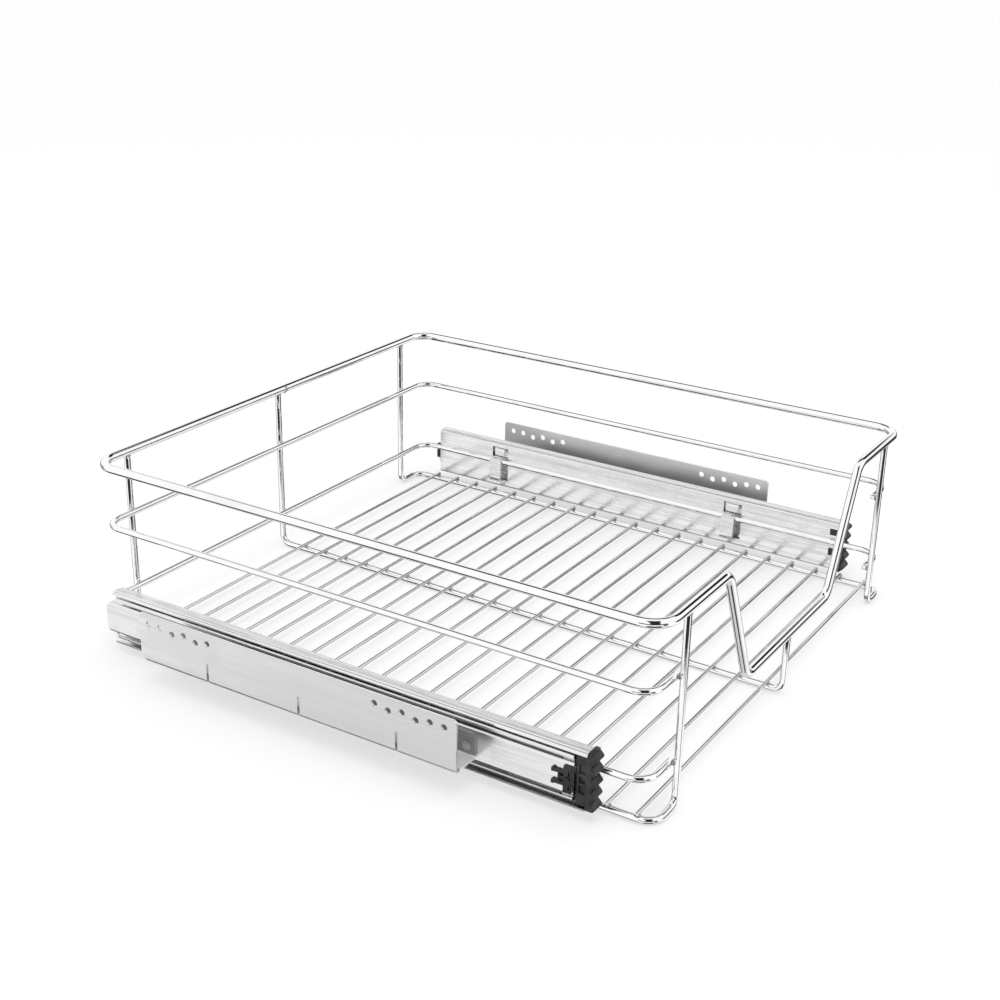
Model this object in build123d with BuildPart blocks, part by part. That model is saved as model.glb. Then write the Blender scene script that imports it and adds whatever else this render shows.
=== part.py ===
from build123d import *
from math import radians, sqrt, tan
import os

# Pull-out wire basket for a kitchen cabinet, carried by a pair of ball-bearing slides.
#
# Millimetres, +Z up. X is the width (+X is the right-hand side seen from the front), Y is the
# depth with the front towards -Y. The origin is under the middle of the basket, level with the
# underside of its lowest wires.

# --- Wire basket -----------------------------------------------------------------------------
rim_width = 428.0            # rim, side to side, on the wire's centreline
rim_depth = 480.0            # rim, front to back, on the wire's centreline
rim_height = 145.5           # rim centreline above the base
rim_wire_d = 7.0
rim_corner_r = 18.0
dip_top_width = 241.0        # the dip in the front of the rim, for reaching in
dip_bottom_width = 152.0
dip_bottom_height = 50.0
dip_corner_r = 12.0

ring_wire_d = 5.0            # the two lower wires that run round the sides and the back
middle_ring_height = 97.0
lower_ring_height = 33.5
ring_corner_r = 15.0

frame_wire_d = 5.0           # uprights and bottom wires
upright_inset = 33.5         # left and right uprights in from the sides of the rim
upright_bend_r = 8.0
side_wire_inset = 4.5        # the bottom side wires lie this far inboard of the rings
side_wire_corner_r = 12.0

floor_wire_d = 2.8
floor_wire_spacing = 22.0    # wanted spacing, rounded to a whole number of gaps
floor_front_margin = 12.5    # first floor wire behind the front uprights
floor_back_margin = 25.5     # last floor wire in front of the back uprights
floor_wire_overhang = 2.5    # stub beyond the centre of a bottom side wire

weld_gap = 0.1               # between wires that are welded together

# --- Slides: a basket channel, a middle member and a cabinet member, with balls between --------
slide_height = 45.0
slide_thickness = 12.7
slide_setback = 41.0         # channel's front end behind the front uprights
slide_back_setback = 23.0    # channel's back end in front of the back uprights
slide_overlap = 6.0          # full extension of the basket is this much short of the channel
slide_base = 6.0             # underside of the channel above the base
slide_seat_gap = 0.1         # between the rings and the channel's web
steel_t = 1.2
bend_r = 2.0
channel_lip = 2.8            # inturned edge of a flange
race_depth = 0.6             # raised raceway pressed into the channel's flanges
race_width = 5.0
mouth_relief = 0.5           # channel's flange edges short of the cabinet member's face

middle_setback = 10.0        # middle member's front end behind the channel's
middle_back_inset = 2.0      # middle member's back end in front of the channel's
member_setback = 9.0         # cabinet member's front end behind the channel's
member_overhang = 7.0        # cabinet member's back end behind the channel's
member_corner_r = 5.0        # rounded back corners

ball_d = 3.5
race_gap = 0.15              # between a ball and its raceway
ball_line = 7.4              # ball centres, measured out from the channel's inner face
ball_count = 9               # in each row
cage_length = 190.0
cage_end_margin = 11.0       # end balls from the ends of their cage
cage_t = 0.6
cage_gap = 0.3               # between a cage and the members beside it
cage_arm_reach = 1.0         # cage material beyond its balls
cage_stop_gap = 1.0          # cage short of the member's end at full extension

# --- Hooks pressed out of the channel's web, which hold the lower ring -------------------------
hook_front = 100.3           # middle of the front hook behind the channel's front end
hook_pitch = 245.5           # between the two hooks of a channel
hook_window_width = 17.5
hook_width = 12.5
hook_shift = 1.5             # hook nearer to the back of its window
hook_window_height = 17.0
hook_window_drop = 20.0      # lower window's bottom edge below the ring's centreline
hook_bend_r = 5.0
hook_crown_r = 60.0          # the hook's plate is slightly crowned
hook_bulge = 1.2             # lower half of the plate stands out this much more than its top
hook_wall_gap = 0.25         # between the ring and its hook
hook_cover = 2.3             # hook's tip above the ring's centreline
tab_width = 10.0
tab_shift = -1.5             # tab nearer to the front of its window
tab_window_height = 10.0
tab_window_rise = 3.0        # upper window's bottom edge above the ring's centreline
tab_clearance = 3.5          # tab's tip above the ring

# --- Plastic fittings ---------------------------------------------------------------------------
cap_plate_t = 3.5            # front cap: plate behind the ridges
cap_ridge_depth = 3.5
cap_ridge_r = 1.0
cap_bevel = (6.0, 3.0)       # across and down, on the outer corners
cap_ridge_count = 5
cap_plug_depth = 8.5         # part of the cap that goes into the channel
cap_plug_gap = 0.2
cap_clip_length = 7.0        # clips that show through the channel's web
cap_clip_proud = 0.6
cap_upper_clip = (10.5, 16.0)    # lower and upper edge, measured from the slide's centre
cap_lower_clip = (-8.5, -2.0)
cap_window_size = (4.5, 3.6)
cap_window_pitch = 7.5
cap_window_depth = 2.0

cage_stop_length = 8.0       # stops in the middle member's front end, in line with the balls
cage_stop_width = 5.5

stop_height = 15.0           # rear stop on the end of the channel's web
stop_grip = 7.0
stop_tail = 4.0
stop_t = 1.0

lever_t = 1.8                # release lever on the cabinet member's face
lever_gap = 0.15
lever_body_length = 6.0
lever_body_height = 20.0
lever_prong_length = 9.0
lever_prong_t = 2.2
lever_prong_pitch = 8.5
lever_end_inset = 0.6        # lever's front edge behind the member's front end
lever_pin_d = 2.4
lever_pin_gap = 0.05
lever_pin_head_d = 4.2
lever_pin_head_t = 0.8
lever_swing = 8.0            # degrees, as far as the latch needs
latch_size = (3.0, 3.0)      # latch tongue that reaches through the member's web
latch_reach = 1.5
latch_clearance = 0.4

# --- Mounting brackets --------------------------------------------------------------------------
bracket_length = 280.0
bracket_setback = 83.0       # bracket's front edge behind the channel's front end
bracket_base = 19.5          # underside above the base
bracket_height = 40.0
bracket_depth = 24.5         # from the slide's face to the cabinet wall
bracket_t = 1.5
bracket_bend_r = 2.5
bracket_inner_height = 18.5
bracket_corner_r = 3.0
bracket_tail_r = 9.0         # rounded lower back corner

screw_hole_d = 5.0
screw_hole_count = 6         # in each of the two groups
screw_hole_pitch = 11.25
screw_hole_margin = 9.6      # outermost hole from the bracket's end
screw_hole_drop = 7.8        # upper holes below the bracket's top edge
screw_hole_stagger = 2.2     # lower holes below the upper ones
lower_screw_holes = (2, 4)   # counted from the outermost hole, which is number 0

rib_pitch = 83.5
rib_shift = 8.5              # middle rib in front of the bracket's middle
rib_height = 16.0
rib_width = 3.0
rib_depth = 1.0
rib_leg = 7.0

rivet_d = 4.0
rivet_hole_gap = 0.05
rivet_head_d = 7.0
rivet_head_t = 1.4
rivet_count = 4
rivet_margin = 6.0           # end rivets from the bracket's ends

# --- Derived places -----------------------------------------------------------------------------
half_width = rim_width / 2
half_depth = rim_depth / 2
upright_x = half_width - upright_inset
upright_top = rim_height - rim_wire_d / 2 - weld_gap
dip_upright_top = dip_bottom_height - rim_wire_d / 2 - weld_gap
ring_half_depth = half_depth - frame_wire_d / 2 - ring_wire_d / 2 - weld_gap
side_wire_x = half_width - side_wire_inset
bottom_wire_z = frame_wire_d / 2
floor_wire_z = frame_wire_d + floor_wire_d / 2 + weld_gap
floor_wire_half = side_wire_x + floor_wire_overhang
floor_span = rim_depth - floor_front_margin - floor_back_margin
floor_gaps = round(floor_span / floor_wire_spacing)
floor_pitch = floor_span / floor_gaps

# Across a slide, u runs outwards from the web face that touches the basket.
slide_x = half_width + ring_wire_d / 2 + slide_seat_gap
slide_z = slide_base + slide_height / 2
channel_front = -half_depth + slide_setback
channel_back = half_depth - slide_back_setback
slide_length = channel_back - channel_front
slide_travel = slide_length - slide_overlap
middle_front = channel_front + middle_setback
middle_length = channel_back - middle_back_inset - middle_front
member_front = channel_front + member_setback
member_back = channel_back + member_overhang
member_length = member_back - member_front

channel_half = slide_height / 2
channel_mouth = slide_thickness - mouth_relief
middle_half = channel_half - steel_t - ball_d - 2 * race_gap
middle_web = steel_t + 2 * cage_gap + cage_t
middle_mouth = channel_mouth - mouth_relief
member_half = middle_half - steel_t - ball_d - 2 * race_gap
member_tip = middle_web + steel_t + 2 * cage_gap + cage_t

outer_ball_z = middle_half + race_gap + ball_d / 2
inner_ball_z = member_half + race_gap + ball_d / 2
cage_mouth = ball_line + ball_d / 2 + cage_arm_reach
cage_travel = slide_travel / 4
outer_cage_front = middle_front + cage_travel + cage_stop_gap
inner_cage_front = member_front + cage_travel + cage_stop_gap
ball_pitch = (cage_length - 2 * cage_end_margin) / (ball_count - 1)

ring_on_slide = lower_ring_height - slide_z       # ring's height on the slide's own axis
hook_places = (channel_front + hook_front, channel_front + hook_front + hook_pitch)

bracket_front = channel_front + bracket_setback
bracket_middle = bracket_front + bracket_length / 2
bracket_bottom = bracket_base - slide_z           # on the slide's own axis
bracket_top = bracket_bottom + bracket_height
bracket_outer = slide_thickness + bracket_depth
rivet_pitch = (bracket_length - 2 * rivet_margin) / (rivet_count - 1)

lever_front = member_front + lever_end_inset
lever_pivot_y = lever_front + lever_body_length / 2
lever_face = slide_thickness + lever_gap
latch_y = lever_front + lever_body_length + latch_size[0]

finished = []


def keep(piece, name):
    """Labels a finished piece and puts it on the list of pieces to write."""
    piece.part.label = name
    finished.append(piece.part)


def section_plane(y):
    """Cross-section plane of the right-hand slide: u outwards, height from the slide's centre."""
    return Plane(origin=(slide_x, y, slide_z), x_dir=(1, 0, 0), z_dir=(0, -1, 0))


def face_plane(u):
    """Plane parallel to the slide's web at u: local x runs to the back, local y up."""
    return Plane(origin=(slide_x + u, 0, slide_z), x_dir=(0, 1, 0), z_dir=(1, 0, 0))


def c_section(web, mouth, half, lip):
    """Rolled C section from its web face to its mouth; the lips are turned in by lip."""
    outward = 1 if mouth > web else -1
    far = mouth if lip else mouth + outward * bend_r
    with Locations(((web + far) / 2, 0)):
        RectangleRounded(abs(far - web), 2 * half, bend_r)
        RectangleRounded(abs(far - web) - 2 * steel_t, 2 * (half - steel_t), bend_r - steel_t,
                         mode=Mode.SUBTRACT)
    mouth_cut = steel_t if lip else bend_r
    with Locations((far - outward * mouth_cut / 2, 0)):
        Rectangle(mouth_cut, 2 * (half - lip), mode=Mode.SUBTRACT)


def corner_waste(y, z, radius, back, up):
    """What a rounded corner takes off a square one; back and up are the sides it faces."""
    arc_middle = (y - back * radius * (1 - sqrt(0.5)), z - up * radius * (1 - sqrt(0.5)))
    with BuildLine() as outline:
        Polyline((y - back * radius, z), (y, z), (y, z - up * radius))
        ThreePointArc((y, z - up * radius), arc_middle, (y - back * radius, z))
    make_face(outline.edges())


# === Wire basket ================================================================================
dip_top = dip_top_width / 2
dip_bottom = dip_bottom_width / 2
rim_corners = [
    (-half_width, half_depth, rim_height),
    (half_width, half_depth, rim_height),
    (half_width, -half_depth, rim_height),
    (dip_top, -half_depth, rim_height),
    (dip_bottom, -half_depth, dip_bottom_height),
    (-dip_bottom, -half_depth, dip_bottom_height),
    (-dip_top, -half_depth, rim_height),
    (-half_width, -half_depth, rim_height),
]
rim_radii = [rim_corner_r] * 3 + [dip_corner_r] * 4 + [rim_corner_r]

with BuildPart() as rim_wire:
    with BuildLine() as rim_path:
        FilletPolyline(*rim_corners, radius=rim_radii, close=True)
    with BuildSketch(Plane(origin=rim_path.line @ 0, z_dir=rim_path.line % 0)):
        Circle(rim_wire_d / 2)
    sweep()
keep(rim_wire, "rim_wire")

for ring_name, ring_height in (("middle_ring_wire", middle_ring_height),
                               ("lower_ring_wire", lower_ring_height)):
    ring_corners = [
        (-upright_x, -ring_half_depth, ring_height),
        (-half_width, -ring_half_depth, ring_height),
        (-half_width, ring_half_depth, ring_height),
        (half_width, ring_half_depth, ring_height),
        (half_width, -ring_half_depth, ring_height),
        (upright_x, -ring_half_depth, ring_height),
    ]
    with BuildPart() as ring_wire:
        with BuildLine() as ring_path:
            FilletPolyline(*ring_corners, radius=ring_corner_r)
        with BuildSketch(Plane(origin=ring_path.line @ 0, z_dir=ring_path.line % 0)):
            Circle(ring_wire_d / 2)
        sweep()
    keep(ring_wire, ring_name)

# One bent wire a side: front upright, bottom side wire and back upright.
side_corners = [
    (upright_x, -half_depth, upright_top),
    (upright_x, -half_depth, bottom_wire_z),
    (side_wire_x, -half_depth, bottom_wire_z),
    (side_wire_x, half_depth, bottom_wire_z),
    (upright_x, half_depth, bottom_wire_z),
    (upright_x, half_depth, upright_top),
]
side_radii = [upright_bend_r, side_wire_corner_r, side_wire_corner_r, upright_bend_r]

with BuildPart() as right_side_frame_wire:
    with BuildLine() as side_path:
        FilletPolyline(*side_corners, radius=side_radii)
    with BuildSketch(Plane(origin=side_path.line @ 0, z_dir=side_path.line % 0)):
        Circle(frame_wire_d / 2)
    sweep()
keep(right_side_frame_wire, "right_side_frame_wire")

support_corners = [
    (0, -half_depth, dip_upright_top),
    (0, -half_depth, bottom_wire_z),
    (0, half_depth, bottom_wire_z),
    (0, half_depth, upright_top),
]
with BuildPart() as centre_support_wire:
    with BuildLine() as support_path:
        FilletPolyline(*support_corners, radius=upright_bend_r)
    with BuildSketch(Plane(origin=support_path.line @ 0, z_dir=support_path.line % 0)):
        Circle(frame_wire_d / 2)
    sweep()
keep(centre_support_wire, "centre_support_wire")

for index in range(floor_gaps + 1):
    wire_y = -half_depth + floor_front_margin + index * floor_pitch
    with BuildPart() as floor_wire:
        with BuildSketch(Plane(origin=(-floor_wire_half, wire_y, floor_wire_z), z_dir=(1, 0, 0))):
            Circle(floor_wire_d / 2)
        extrude(amount=2 * floor_wire_half)
    keep(floor_wire, f"floor_wire_{index + 1:02d}")

# === Right-hand slide ===========================================================================
ring_top = ring_on_slide + ring_wire_d / 2
lower_window_bottom = ring_on_slide - hook_window_drop
lower_window_middle = lower_window_bottom + hook_window_height / 2
hook_top_u = -(slide_seat_gap + ring_wire_d + hook_wall_gap + steel_t / 2)
upper_window_middle = ring_on_slide + tab_window_rise + tab_window_height / 2
upper_window_top = upper_window_middle + tab_window_height / 2

with BuildPart() as right_basket_channel:
    with BuildSketch(section_plane(channel_back)):
        c_section(0, channel_mouth, channel_half - race_depth, channel_lip - race_depth)
        for end in (-1, 1):
            base = end * (channel_half - race_depth)
            for level, mode in ((base, Mode.ADD), (base - end * steel_t, Mode.SUBTRACT)):
                with BuildLine():
                    Polyline(
                        (ball_line - race_width / 2 - race_depth, level),
                        (ball_line - race_width / 2, level + end * race_depth),
                        (ball_line + race_width / 2, level + end * race_depth),
                        (ball_line + race_width / 2 + race_depth, level),
                        close=True,
                    )
                make_face(mode=mode)
    extrude(amount=slide_length)
    # windows of the hooks and of the cap's clips
    with BuildSketch(face_plane(0)):
        for place in hook_places:
            with Locations((place, lower_window_middle)):
                Rectangle(hook_window_width, hook_window_height)
            with Locations((place, upper_window_middle)):
                Rectangle(hook_window_width, tab_window_height)
        for low, high in (cap_upper_clip, cap_lower_clip):
            with Locations((channel_front + cap_plug_depth - cap_clip_length / 2, (low + high) / 2)):
                Rectangle(cap_clip_length + 2 * cap_plug_gap, high - low + 2 * cap_plug_gap)
    extrude(amount=steel_t, mode=Mode.SUBTRACT)
    for place in hook_places:
        # hook: out of the web below the ring, then up in front of it
        with BuildSketch(section_plane(place + hook_shift + hook_width / 2)):
            with BuildLine():
                hook_line = FilletPolyline(
                    (steel_t, lower_window_bottom - steel_t / 2),
                    (hook_top_u - hook_bulge, lower_window_bottom - steel_t / 2),
                    (hook_top_u - hook_bulge, lower_window_middle),
                    (hook_top_u, ring_on_slide + hook_cover),
                    radius=[hook_bend_r, hook_crown_r],
                )
            trace(hook_line, steel_t)
        extrude(amount=hook_width)
        # tab: out of the web above the ring and down towards it, so that the ring can't lift
        with BuildSketch(section_plane(place + tab_shift + tab_width / 2)):
            with BuildLine():
                tab_line = FilletPolyline(
                    (steel_t / 2, upper_window_top),
                    (-ring_wire_d / 2, upper_window_top - steel_t),
                    (-ring_wire_d / 2, ring_top + tab_clearance),
                    radius=1.5 * steel_t,
                )
            trace(tab_line, steel_t)
        extrude(amount=tab_width)
keep(right_basket_channel, "right_basket_channel")

with BuildPart() as right_front_cap:
    # plate and ridges, as a profile across the slide's thickness
    ridge = slide_height / cap_ridge_count
    valley_y = channel_front - cap_plate_t
    with BuildSketch(face_plane(0)):
        with BuildLine():
            outline = [(channel_front, -channel_half), (valley_y, -channel_half)]
            for index in range(cap_ridge_count):
                foot = -channel_half + index * ridge
                outline.append((valley_y - cap_ridge_depth, foot + ridge / 2))
                outline.append((valley_y, foot + ridge))
            outline.append((channel_front, channel_half))
            Polyline(*outline, close=True)
        ridged = make_face()
        fillet(ridged.vertices().group_by(Axis.X)[0], radius=cap_ridge_r)
    extrude(amount=slide_thickness)
    with BuildSketch(section_plane(channel_front)):
        with BuildLine():
            Polyline(
                (0, -channel_half),
                (slide_thickness - cap_bevel[0], -channel_half),
                (slide_thickness, -channel_half + cap_bevel[1]),
                (slide_thickness, channel_half - cap_bevel[1]),
                (slide_thickness - cap_bevel[0], channel_half),
                (0, channel_half),
                close=True,
            )
        make_face()
    extrude(amount=cap_plate_t + cap_ridge_depth, mode=Mode.INTERSECT)
    # plug inside the channel
    with BuildSketch(section_plane(channel_front + cap_plug_depth)):
        plug_in = steel_t + cap_plug_gap
        plug_out = channel_mouth - steel_t - cap_plug_gap
        with Locations(((plug_in + plug_out) / 2, 0)):
            RectangleRounded(plug_out - plug_in, 2 * (channel_half - race_depth - steel_t - cap_plug_gap),
                             bend_r - steel_t)
    extrude(amount=cap_plug_depth)
    # clips that snap through the web
    for low, high in (cap_upper_clip, cap_lower_clip):
        with BuildSketch(face_plane(-cap_clip_proud)):
            with Locations((channel_front + cap_plug_depth - cap_clip_length / 2, (low + high) / 2)):
                Rectangle(cap_clip_length, high - low)
        extrude(amount=cap_clip_proud + plug_in + 1)
    # two moulded recesses in the plug's open side
    with BuildSketch(face_plane(plug_out)):
        with Locations((channel_front + cap_plug_depth / 2, 0)):
            with GridLocations(0, cap_window_pitch, 1, 2):
                Rectangle(*cap_window_size)
    extrude(amount=-cap_window_depth, mode=Mode.SUBTRACT)
keep(right_front_cap, "right_front_cap")

with BuildPart() as right_rear_stop:
    with BuildSketch(section_plane(channel_back + stop_tail)):
        with Locations(((steel_t + stop_t) / 2, 0)):
            Rectangle(steel_t + stop_t, stop_height)
    extrude(amount=stop_tail)
    with BuildSketch(section_plane(channel_back)):
        with Locations((steel_t + stop_t / 2, 0)):
            Rectangle(stop_t, stop_height)
    extrude(amount=stop_grip)
    fillet(right_rear_stop.edges().filter_by(Axis.X).sort_by(Axis.Y)[-2:], radius=stop_t)
keep(right_rear_stop, "right_rear_stop")

with BuildPart() as right_middle_member:
    with BuildSketch(section_plane(middle_front + middle_length)):
        c_section(middle_web, middle_mouth, middle_half, channel_lip)
    extrude(amount=middle_length)
keep(right_middle_member, "right_middle_member")

with BuildPart() as right_cage_stops:
    with BuildSketch(section_plane(middle_front + cage_stop_length)):
        with Locations((ball_line, 0)):
            with GridLocations(0, 2 * inner_ball_z, 1, 2):
                Rectangle(cage_stop_width, ball_d)
    extrude(amount=cage_stop_length)
keep(right_cage_stops, "right_cage_stops")

latch_slot = (latch_size[0] + 2 * latch_clearance,
              latch_size[1] + 2 * (latch_y - lever_pivot_y) * tan(radians(lever_swing)) + 1)

with BuildPart() as right_cabinet_member:
    with BuildSketch(section_plane(member_back)):
        c_section(slide_thickness, member_tip, member_half, 0)
    extrude(amount=member_length)
    with BuildSketch(face_plane(slide_thickness)):
        for up in (-1, 1):
            corner_waste(member_back, up * member_half, member_corner_r, 1, up)
    extrude(amount=member_tip - slide_thickness, mode=Mode.SUBTRACT)
    with BuildSketch(face_plane(slide_thickness)):
        with Locations((bracket_middle, 0)):
            with GridLocations(rivet_pitch, 0, rivet_count, 1):
                Circle(rivet_d / 2 + rivet_hole_gap)
        with Locations((lever_pivot_y, 0)):
            Circle(lever_pin_d / 2 + lever_pin_gap)
        with Locations((latch_y, 0)):
            Rectangle(*latch_slot)
    extrude(amount=-steel_t, mode=Mode.SUBTRACT)
keep(right_cabinet_member, "right_cabinet_member")


for cage_name, cage_front, cage_web, height in (
    ("outer", outer_cage_front, steel_t + cage_gap, outer_ball_z),
    ("inner", inner_cage_front, middle_web + steel_t + cage_gap, inner_ball_z),
):
    cage_half = height + cage_t / 2
    with BuildPart() as cage:
        with BuildSketch(section_plane(cage_front + cage_length)):
            with Locations(((cage_web + cage_mouth) / 2, 0)):
                Rectangle(cage_mouth - cage_web, 2 * cage_half)
            with Locations(((cage_web + cage_t + cage_mouth) / 2, 0)):
                Rectangle(cage_mouth - cage_web - cage_t, 2 * (cage_half - cage_t),
                          mode=Mode.SUBTRACT)
        extrude(amount=cage_length)
        with BuildSketch(Plane.XY.offset(slide_z - cage_half)):
            with Locations((slide_x + ball_line, cage_front + cage_length / 2)):
                with GridLocations(0, ball_pitch, 1, ball_count):
                    Circle(ball_d / 2 + race_gap)
        extrude(amount=2 * cage_half, mode=Mode.SUBTRACT)
    keep(cage, f"right_{cage_name}_cage")

    with BuildPart() as balls:
        with Locations((slide_x + ball_line, cage_front + cage_length / 2, slide_z - height),
                       (slide_x + ball_line, cage_front + cage_length / 2, slide_z + height)):
            with GridLocations(0, ball_pitch, 1, ball_count):
                Sphere(ball_d / 2)
    keep(balls, f"right_{cage_name}_balls")

# === Right-hand bracket, rivets and release lever ===============================================
with BuildPart() as right_mounting_bracket:
    with BuildSketch(section_plane(bracket_front + bracket_length)):
        with BuildLine():
            FilletPolyline(
                (bracket_outer, bracket_top),
                (bracket_outer, bracket_bottom),
                (slide_thickness, bracket_bottom),
                (slide_thickness, bracket_bottom + bracket_inner_height),
                radius=bracket_bend_r,
            )
            Line((slide_thickness, bracket_bottom + bracket_inner_height),
                 (slide_thickness + bracket_t, bracket_bottom + bracket_inner_height))
            FilletPolyline(
                (slide_thickness + bracket_t, bracket_bottom + bracket_inner_height),
                (slide_thickness + bracket_t, bracket_bottom + bracket_t),
                (bracket_outer - bracket_t, bracket_bottom + bracket_t),
                (bracket_outer - bracket_t, bracket_top),
                radius=bracket_bend_r - bracket_t,
            )
            Line((bracket_outer - bracket_t, bracket_top), (bracket_outer, bracket_top))
        make_face()
    extrude(amount=bracket_length)
    # rounded corners: the tops of both walls, and the lower back corner
    bracket_back = bracket_front + bracket_length
    inner_top = bracket_bottom + bracket_inner_height
    with BuildSketch(face_plane(bracket_outer)):
        for y, back in ((bracket_front, -1), (bracket_back, 1)):
            corner_waste(y, bracket_top, bracket_corner_r, back, 1)
    extrude(amount=-bracket_t, mode=Mode.SUBTRACT)
    with BuildSketch(face_plane(slide_thickness)):
        for y, back in ((bracket_front, -1), (bracket_back, 1)):
            corner_waste(y, inner_top, bracket_corner_r, back, 1)
    extrude(amount=bracket_t, mode=Mode.SUBTRACT)
    with BuildSketch(face_plane(slide_thickness + bracket_bend_r)):
        corner_waste(bracket_back, bracket_bottom, bracket_tail_r, 1, -1)
    extrude(amount=bracket_depth - bracket_bend_r, mode=Mode.SUBTRACT)
    # ribs pressed across the lower outer bend: a ridge inside, a groove outside
    for step in (-1, 0, 1):
        rib_y = bracket_middle - rib_shift + step * rib_pitch
        with BuildSketch(section_plane(rib_y + rib_width / 2)):
            with BuildLine():
                Polyline(
                    (bracket_outer - bracket_t / 2, bracket_bottom + bracket_t / 2),
                    (bracket_outer - bracket_t / 2, bracket_bottom + rib_height),
                    (bracket_outer - bracket_t - rib_leg, bracket_bottom + bracket_t / 2),
                    close=True,
                )
            make_face()
        extrude(amount=rib_width)
        with BuildSketch(section_plane(rib_y + rib_depth)):
            with BuildLine():
                Polyline(
                    (bracket_outer + rib_depth, bracket_bottom - rib_depth),
                    (bracket_outer + rib_depth, bracket_bottom + rib_height),
                    (bracket_outer, bracket_bottom + rib_height),
                    (bracket_outer - rib_depth, bracket_bottom + rib_leg),
                    (bracket_outer - rib_leg, bracket_bottom),
                    (bracket_outer - rib_leg, bracket_bottom - rib_depth),
                    close=True,
                )
            make_face()
        extrude(amount=2 * rib_depth, mode=Mode.SUBTRACT)
    # screw holes: two staggered groups, mirror images about the bracket's middle
    with BuildSketch(face_plane(bracket_outer)):
        for index in range(screw_hole_count):
            hole_y = bracket_length / 2 - screw_hole_margin - index * screw_hole_pitch
            drop = screw_hole_drop + (screw_hole_stagger if index in lower_screw_holes else 0)
            with Locations((bracket_middle - hole_y, bracket_top - drop),
                           (bracket_middle + hole_y, bracket_top - drop)):
                Circle(screw_hole_d / 2)
    extrude(amount=-2 * bracket_t, mode=Mode.SUBTRACT)
    # rivet holes in the inner wall
    with BuildSketch(face_plane(slide_thickness)):
        with Locations((bracket_middle, 0)):
            with GridLocations(rivet_pitch, 0, rivet_count, 1):
                Circle(rivet_d / 2 + rivet_hole_gap)
    extrude(amount=2 * bracket_t, mode=Mode.SUBTRACT)
keep(right_mounting_bracket, "right_mounting_bracket")

with BuildPart() as right_bracket_rivets:
    for index in range(rivet_count):
        rivet_y = bracket_front + rivet_margin + index * rivet_pitch
        for start, reach, radius in (
            (slide_thickness - steel_t, steel_t + bracket_t, rivet_d / 2),
            (slide_thickness + bracket_t, rivet_head_t, rivet_head_d / 2),
            (slide_thickness - steel_t, -rivet_head_t, rivet_head_d / 2),
        ):
            with BuildSketch(face_plane(start)):
                with Locations((rivet_y, 0)):
                    Circle(radius)
            extrude(amount=reach)
keep(right_bracket_rivets, "right_bracket_rivets")

with BuildPart() as right_release_lever:
    with BuildSketch(face_plane(lever_face)):
        with Locations((lever_pivot_y, 0)):
            Rectangle(lever_body_length, lever_body_height)
        with Locations((lever_front + lever_body_length + lever_prong_length / 2, 0)):
            with GridLocations(0, lever_prong_pitch, 1, 2):
                Rectangle(lever_prong_length, lever_prong_t)
        with Locations(((lever_pivot_y + latch_y) / 2, 0)):
            Rectangle(latch_y - lever_pivot_y + latch_size[0], latch_size[1])
        with Locations((lever_pivot_y, 0)):
            Circle(lever_pin_d / 2 + lever_pin_gap, mode=Mode.SUBTRACT)
    extrude(amount=lever_t)
    with BuildSketch(face_plane(lever_face)):
        with Locations((latch_y, 0)):
            Rectangle(*latch_size)
    extrude(amount=-(lever_gap + steel_t + latch_reach))
keep(right_release_lever, "right_release_lever")

with BuildPart() as right_lever_pin:
    for start, reach, radius in (
        (slide_thickness - steel_t, steel_t + lever_gap + lever_t + lever_gap, lever_pin_d / 2),
        (lever_face + lever_t + lever_gap, lever_pin_head_t, lever_pin_head_d / 2),
        (slide_thickness - steel_t, -lever_pin_head_t, lever_pin_head_d / 2),
    ):
        with BuildSketch(face_plane(start)):
            with Locations((lever_pivot_y, 0)):
                Circle(radius)
        extrude(amount=reach)
keep(right_lever_pin, "right_lever_pin")

# === Left-hand side: the mirror image of the right ==============================================
for right_part in [part for part in finished if part.label.startswith("right_")]:
    with BuildPart() as left_piece:
        mirror(right_part, about=Plane.YZ)
    keep(left_piece, right_part.label.replace("right_", "left_"))

os.makedirs("parts", exist_ok=True)
for part in finished:
    export_step(part, f"parts/{part.label}.step")
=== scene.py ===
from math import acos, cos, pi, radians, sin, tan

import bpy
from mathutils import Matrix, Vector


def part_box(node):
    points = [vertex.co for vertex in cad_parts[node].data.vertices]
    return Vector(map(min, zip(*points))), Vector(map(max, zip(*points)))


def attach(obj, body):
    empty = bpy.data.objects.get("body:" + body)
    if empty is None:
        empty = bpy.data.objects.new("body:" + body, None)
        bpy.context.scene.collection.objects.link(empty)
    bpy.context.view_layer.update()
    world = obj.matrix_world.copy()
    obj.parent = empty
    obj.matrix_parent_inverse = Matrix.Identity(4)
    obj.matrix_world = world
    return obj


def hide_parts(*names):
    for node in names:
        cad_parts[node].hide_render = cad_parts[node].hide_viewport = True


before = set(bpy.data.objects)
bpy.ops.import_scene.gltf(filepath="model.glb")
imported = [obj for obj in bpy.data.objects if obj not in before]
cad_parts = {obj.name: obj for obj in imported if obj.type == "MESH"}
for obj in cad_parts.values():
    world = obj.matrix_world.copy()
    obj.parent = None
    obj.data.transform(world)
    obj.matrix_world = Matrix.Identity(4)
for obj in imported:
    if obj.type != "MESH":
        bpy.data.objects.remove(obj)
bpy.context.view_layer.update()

# %% [markdown]
# # A pull-out wire basket for a kitchen cabinet
#
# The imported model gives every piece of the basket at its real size, each riding on the body
# that it moves with. This script adds what the eye looks for. The chromed wires are bent again
# with smooth bends, weld beads and filed ends, the plastic parts get their ridges and soft
# edges, and every surface gets a finish that is worked out by nodes. Lengths are in metres, +X
# is the basket's right-hand side and -Y its front.

MM = 0.001
SIDES = (("right", 1), ("left", -1))

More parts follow.
